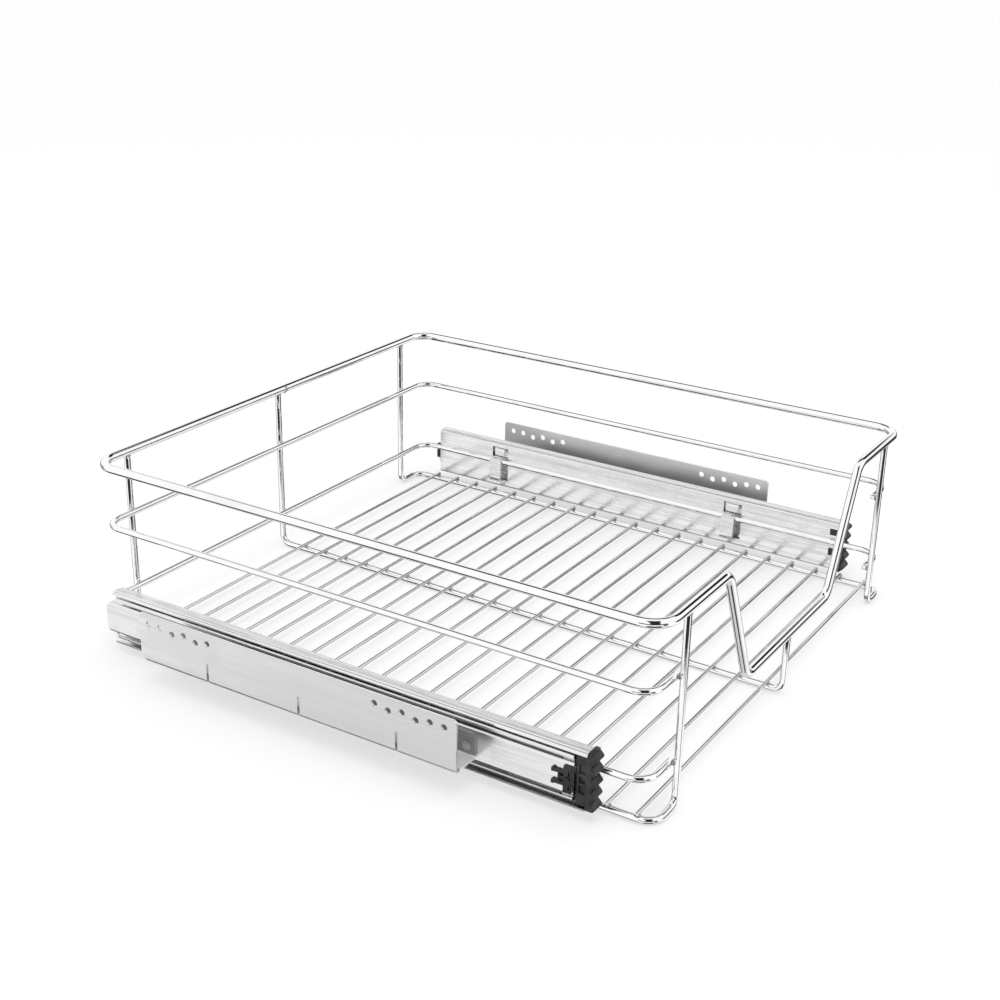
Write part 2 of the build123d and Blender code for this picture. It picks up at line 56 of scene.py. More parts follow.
# %% [markdown]
# ## Camera
#
# The photograph was taken from beyond the basket's front left corner, looking down on it. The
# same view takes three angles and a place: how far round the camera stands, how high it looks
# from, how it is tilted, and where it is. They were measured on wires that are known to be
# straight and level. The lens is given for a 36 mm sensor, and the frame is square.

# %% Camera at the photograph's viewing angle
camera_azimuth = radians(-58.17)
camera_elevation = radians(22.49)
camera_roll = radians(1.12)
camera_place = Vector((-0.9735, -0.5926, 0.5717))
camera_lens = 55.5

camera_back = Vector((
    sin(camera_azimuth) * cos(camera_elevation),
    -cos(camera_azimuth) * cos(camera_elevation),
    sin(camera_elevation),
))
level_right = (-camera_back).cross(Vector((0, 0, 1))).normalized()
level_up = level_right.cross(-camera_back)
camera_right = level_right * cos(camera_roll) + level_up * sin(camera_roll)
camera_up = level_up * cos(camera_roll) - level_right * sin(camera_roll)

bpy.ops.object.camera_add(location=camera_place)
camera = bpy.context.object
camera.name = "camera"
camera.rotation_euler = Matrix((camera_right, camera_up, camera_back)).transposed().to_euler()
camera.data.lens = camera_lens
camera.data.sensor_width = 36
camera.data.clip_start = 0.02
camera.data.clip_end = 100
bpy.context.scene.camera = camera
print("the camera stands", round(camera_place.length, 3), "m from the basket's foot")

# %% [markdown]
# ## Working with nodes
#
# Every finish below, and the studio as well, is a small network of nodes. Writing each node
# out takes four lines, so a few helpers do it in one: a node whose inputs are either fixed
# numbers or sockets to link from, a step of arithmetic, a soft threshold and a noise.

# %% Helpers for node trees
def add_node(tree, kind, inputs=None, **settings):
    """Adds a node. Its inputs are given by name or number, as a constant or a socket."""
    node = tree.nodes.new(kind)
    for key, value in settings.items():
        setattr(node, key, value)
    for key, value in (inputs or {}).items():
        if isinstance(value, bpy.types.NodeSocket):
            tree.links.new(value, node.inputs[key])
        else:
            node.inputs[key].default_value = value
    return node


def maths(tree, operation, first, second=0.0):
    """One step of arithmetic on sockets or numbers."""
    return add_node(tree, "ShaderNodeMath", {0: first, 1: second}, operation=operation).outputs[0]


def soft_step(tree, value, low, high):
    """0 below low, 1 above high and smooth between. Low may be the greater of the two."""
    step = add_node(tree, "ShaderNodeMapRange", {"Value": value, "From Min": low, "From Max": high},
                    interpolation_type="SMOOTHSTEP")
    return step.outputs["Result"]


def spread(tree, value, low, high):
    """Stretches a mask from 0 and 1 to two other numbers."""
    step = add_node(tree, "ShaderNodeMapRange", {"Value": value, "To Min": low, "To Max": high})
    return step.outputs["Result"]


def blend(tree, mask, first, second):
    """Mixes two colours by a mask."""
    mix = add_node(tree, "ShaderNodeMix", data_type="RGBA")
    for key, value in (("Factor", mask), ("A", first), ("B", second)):
        if isinstance(value, bpy.types.NodeSocket):
            tree.links.new(value, mix.inputs[key])
        elif key == "Factor":
            mix.inputs[key].default_value = value
        else:
            mix.inputs[key].default_value = (*value, 1)
    return mix.outputs["Result"]


def noise(tree, vector, scale, detail=3.0, roughness=0.5):
    """Value of a noise at a place."""
    node = add_node(tree, "ShaderNodeTexNoise", {
        "Vector": vector, "Scale": scale, "Detail": detail, "Roughness": roughness,
    })
    return node.outputs["Fac"]


def times(tree, vector, factors):
    """Multiplies a place by three factors, to stretch what is drawn there."""
    node = add_node(tree, "ShaderNodeVectorMath", {0: vector, 1: factors}, operation="MULTIPLY")
    return node.outputs["Vector"]


def facing_up(tree):
    """How far the surface faces up: 1 on top, 0 on a wall, -1 below."""
    normal = add_node(tree, "ShaderNodeNewGeometry").outputs["Normal"]
    return add_node(tree, "ShaderNodeSeparateXYZ", {0: normal}).outputs["Z"]


# %% [markdown]
# ## Studio
#
# Polished chrome has no colour of its own: it shows the room. The photograph was taken in a
# white room with a few dark things in it, and they are the black lines along the wires. The
# world's background can hold such a room: white, with a few soft-edged dark cards drawn by
# direction. Each card was placed by working out which direction a black line in the
# photograph mirrors. Only mirror rays see the cards, and the camera sees plain white.

# %% Dark cards of the room
scene = bpy.context.scene
scene.view_settings.view_transform = "Standard"
world = bpy.data.worlds.new("studio")
scene.world = world
world.use_nodes = True
sky = world.node_tree
sky.nodes.clear()
ray = add_node(sky, "ShaderNodeTexCoord").outputs["Generated"]


def along(axis):
    """How far the ray points along an axis."""
    dot = add_node(sky, "ShaderNodeVectorMath", {0: ray, 1: axis}, operation="DOT_PRODUCT")
    return dot.outputs["Value"]


def card(bearing, height, half_width, half_height, blur, darkness):
    """Mask of a card seen from the basket. Bearing counts from +X towards +Y, in degrees."""
    turn, lift = radians(bearing), radians(height)
    middle = Vector((cos(turn) * cos(lift), sin(turn) * cos(lift), sin(lift)))
    across = Vector((-sin(turn), cos(turn), 0))
    mask = maths(sky, "GREATER_THAN", along(middle), 0.0)
    for axis, half in ((across, half_width), (middle.cross(across), half_height)):
        reach = maths(sky, "ABSOLUTE", along(axis))
        edge = soft_step(sky, reach, sin(radians(half + blur)), sin(radians(half - blur)))
        mask = maths(sky, "MULTIPLY", mask, edge)
    return maths(sky, "MULTIPLY", mask, darkness)


# Each card's bearing, height, half width, half height and blur in degrees, and its darkness
room_cards = {
    "line along the top of the side wires": (34, 50, 20, 15, 3, 0.99),
    "line along the foot of the side wires": (114, -51, 25, 16, 3, 0.99),
    "line along the top of the cross wires": (356, 36, 14, 12, 3, 0.99),
    "line along the foot of the cross wires": (320, -10, 28, 12, 3, 0.99),
    "edges of the uprights": (48, -20, 60, 17, 4, 0.7),
    "line down the uprights": (256, -24, 8, 12, 2, 0.98),
    "line through the bends": (214, -2, 46, 9, 3, 0.98),
    "upper half of the spots on the bends": (220, 31, 16, 43, 4, 0.98),
    "lower half of the spots on the bends": (220, -56, 20, 20, 4, 0.98),
    "shade under the wires": (40, -80, 38, 38, 8, 0.35),
}
cover = 0.0
for settings in room_cards.values():
    cover = maths(sky, "MAXIMUM", card(*settings), cover)
print("dark cards in the room:", len(room_cards))

# %% Who sees what
room_white = (1.0, 1.0, 1.0)
room_black = (0.006, 0.006, 0.007)
daylight = 0.95                  # strength of the light that the room gives
plain = add_node(sky, "ShaderNodeBackground", {"Color": (*room_white, 1), "Strength": daylight})
backdrop = add_node(sky, "ShaderNodeBackground", {"Color": (*room_white, 1)})
room = blend(sky, cover, room_white, room_black)
mirrored = add_node(sky, "ShaderNodeBackground", {"Color": room})
rays = add_node(sky, "ShaderNodeLightPath")
lit = add_node(sky, "ShaderNodeMixShader", {
    0: rays.outputs["Is Glossy Ray"], 1: plain.outputs[0], 2: mirrored.outputs[0],
})
seen = add_node(sky, "ShaderNodeMixShader", {
    0: rays.outputs["Is Camera Ray"], 1: lit.outputs[0], 2: backdrop.outputs[0],
})
add_node(sky, "ShaderNodeOutputWorld", {"Surface": seen.outputs[0]})
print("nodes in the room:", len(sky.nodes))

# %% [markdown]
# The basket stands on a white table that is lit from below, as in a studio, so that its shadow
# stays light. Half of the table's white is its own glow and half is paint that catches the
# shadow. A large round lamp above draws the shadow softly. Neither shows in the chrome.

# %% Floor and lamp
floor_size = 60                  # wide enough that its edge stays out of the picture
floor_drop = 0.3 * MM            # keeps its face clear of the lowest wires
floor_white, floor_glow = 0.55, 0.46
bpy.ops.mesh.primitive_plane_add(size=floor_size, location=(0, 0, -floor_drop))
floor = bpy.context.object
floor.name = "floor"
floor.visible_glossy = False
floor_paint = bpy.data.materials.new("floor_paint")
floor_paint.use_nodes = True
floor_shader = floor_paint.node_tree.nodes["Principled BSDF"]
floor_shader.inputs["Base Color"].default_value = (floor_white, floor_white, floor_white, 1)
floor_shader.inputs["Emission Color"].default_value = (1, 1, 1, 1)
floor_shader.inputs["Emission Strength"].default_value = floor_glow
floor_shader.inputs["Roughness"].default_value = 1.0
floor_shader.inputs["Specular IOR Level"].default_value = 0.0
floor.data.materials.append(floor_paint)

lamp_place = (-0.4, -0.5, 2.2)
lamp_width, lamp_watts = 1.6, 9
bpy.ops.object.light_add(type="AREA", location=lamp_place)
lamp = bpy.context.object
lamp.name = "soft_lamp"
lamp.data.shape = "DISK"
lamp.data.size = lamp_width
lamp.data.energy = lamp_watts
lamp.visible_glossy = False
print("stage:", floor.name, lamp.name)

# %% [markdown]
# ## Effects that several finishes share
#
# Steel strip is drawn through rollers, so it carries fine lines along its length. Everything
# that is handled gets faint smears, and dust settles on what faces up. Each of these is a node
# group that gives out masks, and a finish decides what its masks change.

# %% Node groups
def new_effect(name, inputs, outputs):
    """An empty node group with its sockets, and its input and output nodes."""
    tree = bpy.data.node_groups.new(name, "ShaderNodeTree")
    for label, kind in inputs:
        tree.interface.new_socket(label, in_out="INPUT", socket_type="NodeSocket" + kind)
    for label, kind in outputs:
        tree.interface.new_socket(label, in_out="OUTPUT", socket_type="NodeSocket" + kind)
    return tree, tree.nodes.new("NodeGroupInput").outputs, tree.nodes.new("NodeGroupOutput").inputs


# %% Lines and bands of drawn strip
line_stretch = (1.0, 0.012, 1.0)     # the lines run along Y
band_scale = 0.22                    # bands are this much coarser than lines
drawn_lines, given, result = new_effect(
    "drawn_lines",
    [("Place", "Vector"), ("Fineness", "Float")],
    [("Lines", "Float"), ("Bands", "Float")],
)
stretched = times(drawn_lines, given["Place"], line_stretch)
fine = noise(drawn_lines, stretched, given["Fineness"], 3.0, 0.6)
coarseness = maths(drawn_lines, "MULTIPLY", given["Fineness"], band_scale)
coarse = noise(drawn_lines, stretched, coarseness, 2.0)
drawn_lines.links.new(soft_step(drawn_lines, fine, 0.38, 0.68), result["Lines"])
drawn_lines.links.new(soft_step(drawn_lines, coarse, 0.4, 0.64), result["Bands"])
print("effect:", drawn_lines.name)

# %% Smears and hair scratches
scratch_stretch = (1.0, 0.07, 0.5)   # scratches lean along Y
scratch_scale = 9.0                  # scratches are this much finer than smears
patch_scale = 70.0                   # scratches show only in patches
handling, given, result = new_effect(
    "handling",
    [("Place", "Vector"), ("Size", "Float")],
    [("Smears", "Float"), ("Scratches", "Float")],
)
smears = noise(handling, given["Place"], given["Size"], 4.0, 0.55)
handling.links.new(soft_step(handling, smears, 0.47, 0.72), result["Smears"])
cells = add_node(handling, "ShaderNodeTexVoronoi", {
    "Vector": times(handling, given["Place"], scratch_stretch),
    "Scale": maths(handling, "MULTIPLY", given["Size"], scratch_scale),
}, feature="DISTANCE_TO_EDGE")
hairs = soft_step(handling, cells.outputs["Distance"], 0.022, 0.004)
patches = soft_step(handling, noise(handling, given["Place"], patch_scale), 0.5, 0.62)
handling.links.new(maths(handling, "MULTIPLY", hairs, patches), result["Scratches"])
print("effect:", handling.name)

# %% Dust on what faces up
speck_scale = 900.0
settled_dust, given, result = new_effect(
    "settled_dust", [("Place", "Vector"), ("Amount", "Float")], [("Dust", "Float")],
)
on_top = soft_step(settled_dust, facing_up(settled_dust), 0.5, 0.95)
specks = noise(settled_dust, given["Place"], speck_scale, 5.0, 0.7)
settled = maths(settled_dust, "MULTIPLY", on_top, soft_step(settled_dust, specks, 0.5, 0.75))
settled_dust.links.new(maths(settled_dust, "MULTIPLY", settled, given["Amount"]), result["Dust"])
print("effect:", settled_dust.name)

# %% [markdown]
# ## Finishes
#
# The wires are chromed, the slides and brackets are bright zinc on drawn strip, the cages are
# dull steel, and the caps, levers and stops are black plastic with a fine grain. A plain
# colour with one roughness would do for each at arm's length, but up close it is the uneven
# part that tells zinc from chrome, so every finish varies its colour, its roughness and its
# surface by place. The place is taken in the object's own coordinates.

# %% A finish with its tree and its place
def new_finish(name, metallic):
    """A material, its tree, its shader and the object's own coordinates."""
    material = bpy.data.materials.new(name)
    material.use_nodes = True
    tree = material.node_tree
    shader = tree.nodes["Principled BSDF"]
    shader.inputs["Metallic"].default_value = metallic
    place = add_node(tree, "ShaderNodeTexCoord").outputs["Object"]
    return material, tree, shader, place


def use_effect(tree, effect, inputs):
    """Puts a shared effect in a finish and returns its outputs."""
    return add_node(tree, "ShaderNodeGroup", inputs, node_tree=effect).outputs


def cover_with(tree, shader, colour, roughness, height, depth):
    """Gives a finish its colour and roughness, and a relief that is depth metres deep."""
    tree.links.new(colour, shader.inputs["Base Color"])
    tree.links.new(roughness, shader.inputs["Roughness"])
    bump = add_node(tree, "ShaderNodeBump", {"Height": height, "Distance": depth})
    tree.links.new(bump.outputs["Normal"], shader.inputs["Normal"])


# %% [markdown]
# ### Chrome
#
# The wires were plated after they were welded. Chrome throws back nearly all the light, and
# it is smooth enough to show the room's cards as sharp black lines. What makes it look real is
# the little that is wrong with it: faint smears, hair scratches, and the ripple of the drawn
# wire below. The floor rods get a greyer copy of the chrome, painted shade for rods that lie low
# in the basket. Over the welds the chrome lies on lumps that nobody polished, so it is dull
# there, and painted shade darkens the hollows of the lumps.

# %% Chrome of the wires and welds
chrome_dust = (0.85, 0.85, 0.85)
# The weld's hollow colour is painted shade, laid in the low places of the lumps.
weld_hollow_painted_shade, weld_crest = (0.16, 0.155, 0.15), (0.75, 0.75, 0.75)


def chrome_finish(name, bright, smeared):
    """Polished chrome with faint smears, hair scratches and the ripple of the wire below."""
    material, tree, shader, place = new_finish(name, 1.0)
    marks = use_effect(tree, handling, {"Place": place, "Size": 26.0})
    dust = use_effect(tree, settled_dust, {"Place": place, "Amount": 0.25})["Dust"]
    clean = blend(tree, marks["Smears"], bright, smeared)
    haze = spread(tree, marks["Smears"], 0.03, 0.085)
    scratched = maths(tree, "MULTIPLY", marks["Scratches"], 0.06)
    ripple = noise(tree, place, 260.0, 2.0)
    cover_with(tree, shader, blend(tree, dust, clean, chrome_dust),
               maths(tree, "ADD", haze, scratched), ripple, 0.025 * MM)
    return material


def weld_finish():
    """Chrome over a weld: lumpy, duller, with painted shade darkening its hollows."""
    material, tree, shader, place = new_finish("weld_chrome", 1.0)
    lumps = noise(tree, place, 1400.0, 3.0, 0.6)
    # painted shade: the low places of the lumps get the dark colour
    colour = blend(tree, soft_step(tree, lumps, 0.4, 0.6), weld_hollow_painted_shade, weld_crest)
    cover_with(tree, shader, colour, spread(tree, lumps, 0.1, 0.4), lumps, 0.05 * MM)
    return material


# %% [markdown]
# ### Zinc
#
# The slides are rolled from zinc-plated strip. An anisotropic shader would stretch their
# highlights along the strip, but the exported model keeps only colour, roughness, metal and
# relief, so the lines are drawn in those. The upper faces are streaked more than the webs.

# %% Zinc of the slides
zinc_dust = (0.75, 0.75, 0.75)
zinc_scratch = (0.96, 0.96, 0.96)


def strip_finish(name, fineness, bright, shaded, smooth, rough):
    """Bright zinc on drawn strip: lengthwise lines, broader bands and handling marks."""
    material, tree, shader, place = new_finish(name, 1.0)
    lines = use_effect(tree, drawn_lines, {"Place": place, "Fineness": fineness})
    marks = use_effect(tree, handling, {"Place": place, "Size": 40.0})
    dust = use_effect(tree, settled_dust, {"Place": place, "Amount": 0.6})["Dust"]
    upward = soft_step(tree, facing_up(tree), 0.6, 0.9)
    worn_by_rollers = maths(tree, "MAXIMUM", spread(tree, lines["Bands"], 0.45, 1.0),
                            maths(tree, "MULTIPLY", upward, 1.6))
    zinc = blend(tree, maths(tree, "MULTIPLY", lines["Lines"], worn_by_rollers), bright, shaded)
    scratches = maths(tree, "MULTIPLY", marks["Scratches"], 0.5)
    worn = blend(tree, scratches, zinc, zinc_scratch)
    haze = maths(tree, "MULTIPLY", marks["Smears"], 0.08)
    roughness = maths(tree, "ADD", spread(tree, lines["Bands"], smooth, rough), haze)
    cover_with(tree, shader, blend(tree, dust, worn, zinc_dust), roughness,
               lines["Lines"], 0.012 * MM)
    return material


# %% [markdown]
# ### Brackets
#
# The brackets are folded from thicker sheet. Their outer faces are bright. Their inner faces
# carry a painted reflection of the darker side of the room: grey near the slide, lighter towards
# the top, and a paler grey towards the back. A card in the room would lay that shade on the wires
# as well, so it is painted into the bracket's own colour instead, by height and by depth into the
# fold. The leg against the slide is painted darker still, and the foot is left unshaded.

# %% Zinc of the brackets, with painted shade and reflection
bracket_low, bracket_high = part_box("right_mounting_bracket")
bracket_face = bracket_high.x
bracket_foot = bracket_low.z
# Bracket colours: the unshaded zinc, and the painted shade of the inner side, grey low on the web
# and towards the back, and dark on the leg.
unshaded_zinc = (0.97, 0.97, 0.975)
web_painted_shade, back_painted_shade = (0.4, 0.4, 0.4), (0.72, 0.72, 0.72)
leg_painted_shade_light, leg_painted_shade_dark = (0.34, 0.34, 0.345), (0.26, 0.26, 0.265)
face_light, face_dark = (0.94, 0.94, 0.945), (0.9, 0.9, 0.905)
shade_foot, shade_top = bracket_foot + 27 * MM, bracket_foot + 42 * MM
shade_sway = 0.012               # how far the shade's edge wanders up and down
back_start, back_end = 0.1, 0.15
rim_of_foot, foot_edge = bracket_foot + 3 * MM, bracket_foot + 1.5 * MM
leg_end, web_start = bracket_face - 6 * MM, bracket_face - 3 * MM
face_depth, inside_depth = bracket_face - 0.6 * MM, bracket_face - 1.0 * MM


def bracket_finish():
    """The bracket's outer side is bright, and its inner side carries painted shade and reflection
    by place.
    """
    material, tree, shader, place = new_finish("bracket_zinc", 1.0)
    axes = add_node(tree, "ShaderNodeSeparateXYZ", {0: place}).outputs
    lines = use_effect(tree, drawn_lines, {"Place": place, "Fineness": 700.0})
    marks = use_effect(tree, handling, {"Place": place, "Size": 30.0})
    across = maths(tree, "ABSOLUTE", axes["X"])
    sway = maths(tree, "MULTIPLY", noise(tree, place, 14.0, 2.0), shade_sway)
    height = maths(tree, "ADD", axes["Z"], sway)
    # painted reflection: the inner web is grey low down, lighter up to unshaded zinc at the top,
    # and paler grey towards the back
    web = blend(tree, soft_step(tree, height, shade_foot, shade_top), web_painted_shade, unshaded_zinc)
    web = blend(tree, soft_step(tree, axes["Y"], back_start, back_end), web, back_painted_shade)
    # painted shade: the leg against the slide is dark, streaked by the drawn lines, and goes back
    # to unshaded zinc at the foot
    leg = blend(tree, lines["Lines"], leg_painted_shade_light, leg_painted_shade_dark)
    leg = blend(tree, soft_step(tree, axes["Z"], rim_of_foot, foot_edge), leg, unshaded_zinc)
    inner = blend(tree, soft_step(tree, across, leg_end, web_start), leg, web)
    outer = blend(tree, lines["Lines"], face_light, face_dark)
    inside = soft_step(tree, across, face_depth, inside_depth)
    tree.links.new(spread(tree, inside, 1.0, 0.35), shader.inputs["Metallic"])
    marked = maths(tree, "MAXIMUM", marks["Smears"], lines["Bands"])
    cover_with(tree, shader, blend(tree, inside, outer, inner), spread(tree, marked, 0.3, 0.42),
               lines["Lines"], 0.008 * MM)
    return material


# %% [markdown]
# ### Small steel parts and plastic
#
# Balls, rivets and pins are tumbled in a barrel, and the cages are pressed from plain sheet.
# Both leave a mottle without any direction. The plastic comes out of a mould with an eroded
# face, so it has a very fine grain, and handling has rubbed it a little lighter in places.

# %% Small steel parts and plastic
plastic_dust = (0.3, 0.3, 0.3)


def small_steel_finish(name, bright, shaded, smooth, rough, grain):
    """Barrelled or pressed small parts: mottled, without a direction."""
    material, tree, shader, place = new_finish(name, 1.0)
    mottle = noise(tree, place, grain, 4.0, 0.6)
    colour = blend(tree, soft_step(tree, mottle, 0.4, 0.65), bright, shaded)
    cover_with(tree, shader, colour, spread(tree, mottle, smooth, rough), mottle, 0.01 * MM)
    return material


def plastic_finish(name, deep, rubbed, rough):
    """Black moulded plastic with a spark-eroded grain, rubbed lighter in places."""
    material, tree, shader, place = new_finish(name, 0.0)
    grain = noise(tree, place, 4200.0, 3.0, 0.65)
    marks = use_effect(tree, handling, {"Place": place, "Size": 90.0})
    dust = use_effect(tree, settled_dust, {"Place": place, "Amount": 0.25})["Dust"]
    worn = maths(tree, "MAXIMUM", marks["Smears"], marks["Scratches"])
    colour = blend(tree, dust, blend(tree, worn, deep, rubbed), plastic_dust)
    cover_with(tree, shader, colour, spread(tree, grain, rough - 0.08, rough + 0.12),
               grain, 0.04 * MM)
    return material


# %% All finishes
chrome = chrome_finish("basket_chrome", (0.985, 0.985, 0.985), (0.92, 0.92, 0.925))
# The floor rods' chrome is a darker copy of the wire chrome: painted shade for rods that lie low in
# the basket.
rod_chrome_painted_shade = chrome_finish("floor_rod_chrome", (0.78, 0.78, 0.785), (0.66, 0.66, 0.665))
weld_chrome = weld_finish()
channel_zinc = strip_finish(
    "channel_zinc", 1500.0, (0.9, 0.9, 0.905), (0.7, 0.7, 0.71), smooth=0.16, rough=0.3)
member_zinc = strip_finish(
    "member_zinc", 1100.0, (0.87, 0.87, 0.875), (0.78, 0.78, 0.79), smooth=0.15, rough=0.26)
bracket_zinc = bracket_finish()
cage_steel = small_steel_finish(
    "cage_steel", (0.32, 0.32, 0.33), (0.12, 0.12, 0.12), smooth=0.3, rough=0.5, grain=700.0)
ball_steel = small_steel_finish(
    "ball_steel", (0.9, 0.9, 0.9), (0.7, 0.7, 0.7), smooth=0.05, rough=0.15, grain=900.0)
rivet_steel = small_steel_finish(
    "rivet_steel", (0.7, 0.7, 0.71), (0.4, 0.4, 0.4), smooth=0.2, rough=0.4, grain=1200.0)
pin_steel = small_steel_finish(
    "blackened_pin", (0.08, 0.08, 0.085), (0.03, 0.03, 0.03), smooth=0.25, rough=0.45, grain=1500.0)
cap_plastic = plastic_finish("cap_plastic", (0.022, 0.022, 0.023), (0.06, 0.06, 0.062), 0.42)
lever_plastic = plastic_finish("lever_plastic", (0.012, 0.012, 0.013), (0.03, 0.03, 0.03), 0.34)
stop_plastic = plastic_finish("stop_plastic", (0.01, 0.01, 0.01), (0.025, 0.025, 0.025), 0.5)

node_finishes = {
    "basket_channel": channel_zinc,
    "middle_member": member_zinc,
    "cabinet_member": member_zinc,
    "mounting_bracket": bracket_zinc,
    "outer_cage": cage_steel,
    "inner_cage": cage_steel,
    "outer_balls": ball_steel,
    "inner_balls": ball_steel,
    "cage_stops": rivet_steel,
    "bracket_rivets": rivet_steel,
    "lever_pin": pin_steel,
    "rear_stop": stop_plastic,
    "front_cap": cap_plastic,
    "release_lever": lever_plastic,
}
for node_name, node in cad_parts.items():
    kind = node_name.replace("left_", "").replace("right_", "")
    node.data.materials.clear()
    node.data.materials.append(node_finishes.get(kind, chrome))
print("finishes:", len(bpy.data.materials))

# %% [markdown]
# ## Wires
#
# The basket is bent from round wire. A curve with a round bevel would be the quick way, but
# here the wire is made as the workshop makes it: a flat circle is drawn out along each
# straight run and turned about each bend with the spin tool. That keeps the same number of
# sides all the way, and every bend is a true arc. Spin turns clockwise about its axis, so the
# bend's own axis is given the other way round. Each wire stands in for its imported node.

# %% Picking, editing and finishing a piece
def pick(piece):
    """Makes a piece the active object, and the only one selected."""
    bpy.ops.object.select_all(action="DESELECT")
    bpy.context.view_layer.objects.active = piece
    piece.select_set(True)


def edit(piece):
    """Opens a piece in edit mode with all of it selected."""
    pick(piece)
    bpy.ops.object.mode_set(mode="EDIT")
    bpy.ops.mesh.select_all(action="SELECT")


def finish_piece(piece, name, finish, body, smooth_angle=40):
    """Settles a piece's place in its mesh, then gives it normals, a name, a finish and a body."""
    pick(piece)
    bpy.ops.object.transform_apply(location=True, rotation=True, scale=True)
    bpy.ops.object.shade_smooth_by_angle(angle=radians(smooth_angle))
    piece.name = name
    piece.data.name = name
    piece.data.materials.clear()
    piece.data.materials.append(finish)
    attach(piece, body)
    return piece


# %% Drawing and bending a wire
bend_step = radians(7.5)
least_bend_steps = 6
filed_share = 0.12               # of a wire's thickness, filed off the edge of its end


def bent_wire(name, corners, bend_radii, thickness, sides, closed=False, finish=chrome):
    """One wire through its corners, with a bend of the given radius at each inner corner."""
    points = [Vector(corner) for corner in corners]
    if closed:
        start = (points[0] + points[1]) / 2
        points = [start] + points[1:] + [points[0], start]
        bend_radii = bend_radii[1:] + bend_radii[:1]
    heading = (points[1] - points[0]).normalized()
    bpy.ops.object.select_all(action="DESELECT")
    bpy.ops.mesh.primitive_circle_add(vertices=sides, radius=thickness / 2, location=points[0],
                                      rotation=heading.to_track_quat("Z", "Y").to_euler())
    wire = bpy.context.object
    edit(wire)
    place = points[0]
    for radius, corner, following in zip(bend_radii, points[1:], points[2:]):
        turned = (following - corner).normalized()
        turn = acos(heading.dot(turned))
        setback = radius * tan(turn / 2)
        run = corner - heading * setback - place
        bpy.ops.mesh.extrude_region_move(TRANSFORM_OT_translate={"value": run})
        axis = heading.cross(turned).normalized()
        middle = place + run + axis.cross(heading) * radius
        steps = max(least_bend_steps, round(turn / bend_step))
        bpy.ops.mesh.spin(steps=steps, angle=turn, center=middle, axis=-axis)
        place = corner + turned * setback
        heading = turned
    bpy.ops.mesh.extrude_region_move(TRANSFORM_OT_translate={"value": points[-1] - place})
    bpy.ops.mesh.select_all(action="SELECT")
    if closed:
        bpy.ops.mesh.remove_doubles(threshold=0.02 * MM)
    else:
        bpy.ops.mesh.fill_holes(sides=0)
    bpy.ops.mesh.select_all(action="SELECT")
    bpy.ops.mesh.normals_make_consistent(inside=False)
    bpy.ops.object.mode_set(mode="OBJECT")
    if not closed:
        filed = wire.modifiers.new("filed_ends", "BEVEL")
        filed.width = thickness * filed_share
        filed.segments = 2
        filed.angle_limit = radians(60)
        bpy.ops.object.modifier_apply(modifier="filed_ends")
    return finish_piece(wire, name, finish, "basket")


# %% Where the wires run, read from the frame
rim_low, rim_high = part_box("rim_wire")
side_low, side_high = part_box("right_side_frame_wire")
rod_low, rod_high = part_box("floor_wire_01")
ring_low, ring_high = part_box("lower_ring_wire")

rim_d = 7 * MM
wire_d = ring_high.z - ring_low.z
rod_d = rod_high.z - rod_low.z
rim_sides, wire_sides, rod_sides = 32, 24, 16
half_width = rim_high.x - rim_d / 2
half_depth = rim_high.y - rim_d / 2
rim_level = rim_high.z - rim_d / 2
dip_level = rim_low.z + rim_d / 2
upright_x = side_low.x + wire_d / 2
side_wire_x = side_high.x - wire_d / 2
foot_level = side_low.z + wire_d / 2
print("rim", round(half_width * 2, 4), "x", round(half_depth * 2, 4),
      "uprights at", round(upright_x, 4))

# %% [markdown]
# ### Rim
#
# The thickest wire runs round the top, and dips in the middle of the front so that a hand can
# reach in. It is one closed loop, which starts and ends in the middle of the back.

# %% Rim
dip_top_half = 120.5 * MM
dip_bottom_half = 76 * MM
rim_bend = 18 * MM
dip_bend = 12 * MM
rim = bent_wire(
    "rim",
    [
        (-half_width, half_depth, rim_level),
        (half_width, half_depth, rim_level),
        (half_width, -half_depth, rim_level),
        (dip_top_half, -half_depth, rim_level),
        (dip_bottom_half, -half_depth, dip_level),
        (-dip_bottom_half, -half_depth, dip_level),
        (-dip_top_half, -half_depth, rim_level),
        (-half_width, -half_depth, rim_level),
    ],
    [rim_bend] * 3 + [dip_bend] * 4 + [rim_bend],
    rim_d, rim_sides, closed=True,
)
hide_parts("rim_wire")
print("rim corners:", len(rim.data.vertices))

# %% [markdown]
# ### Rings
#
# Two thinner wires run round the sides and the back, and turn in at the front to end on the
# uprights. Cut ends are filed, so every wire that isn't a loop has its ends' edges taken off.

# %% Ring wires
ring_half_depth = ring_high.y - wire_d / 2
ring_bend = 15 * MM
ring_levels = {}
for node_name in ("middle_ring_wire", "lower_ring_wire"):
    low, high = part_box(node_name)
    level = (low.z + high.z) / 2
    ring_levels[node_name] = level
    ring = bent_wire(
        node_name.replace("_wire", ""),
        [
            (-upright_x, -ring_half_depth, level),
            (-half_width, -ring_half_depth, level),
            (-half_width, ring_half_depth, level),
            (half_width, ring_half_depth, level),
            (half_width, -ring_half_depth, level),
            (upright_x, -ring_half_depth, level),
        ],
        [ring_bend] * 4, wire_d, wire_sides,
    )
    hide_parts(node_name)
print("rings at", ring_levels)

# %% [markdown]
# ### Side frames and centre support
#
# Each side frame is one wire: down at the front, out to the side, along under the floor, and
# up again at the back. The centre support runs straight through under the middle, and ends
# under the dip at the front. They carry the rim, and the floor lies on them.

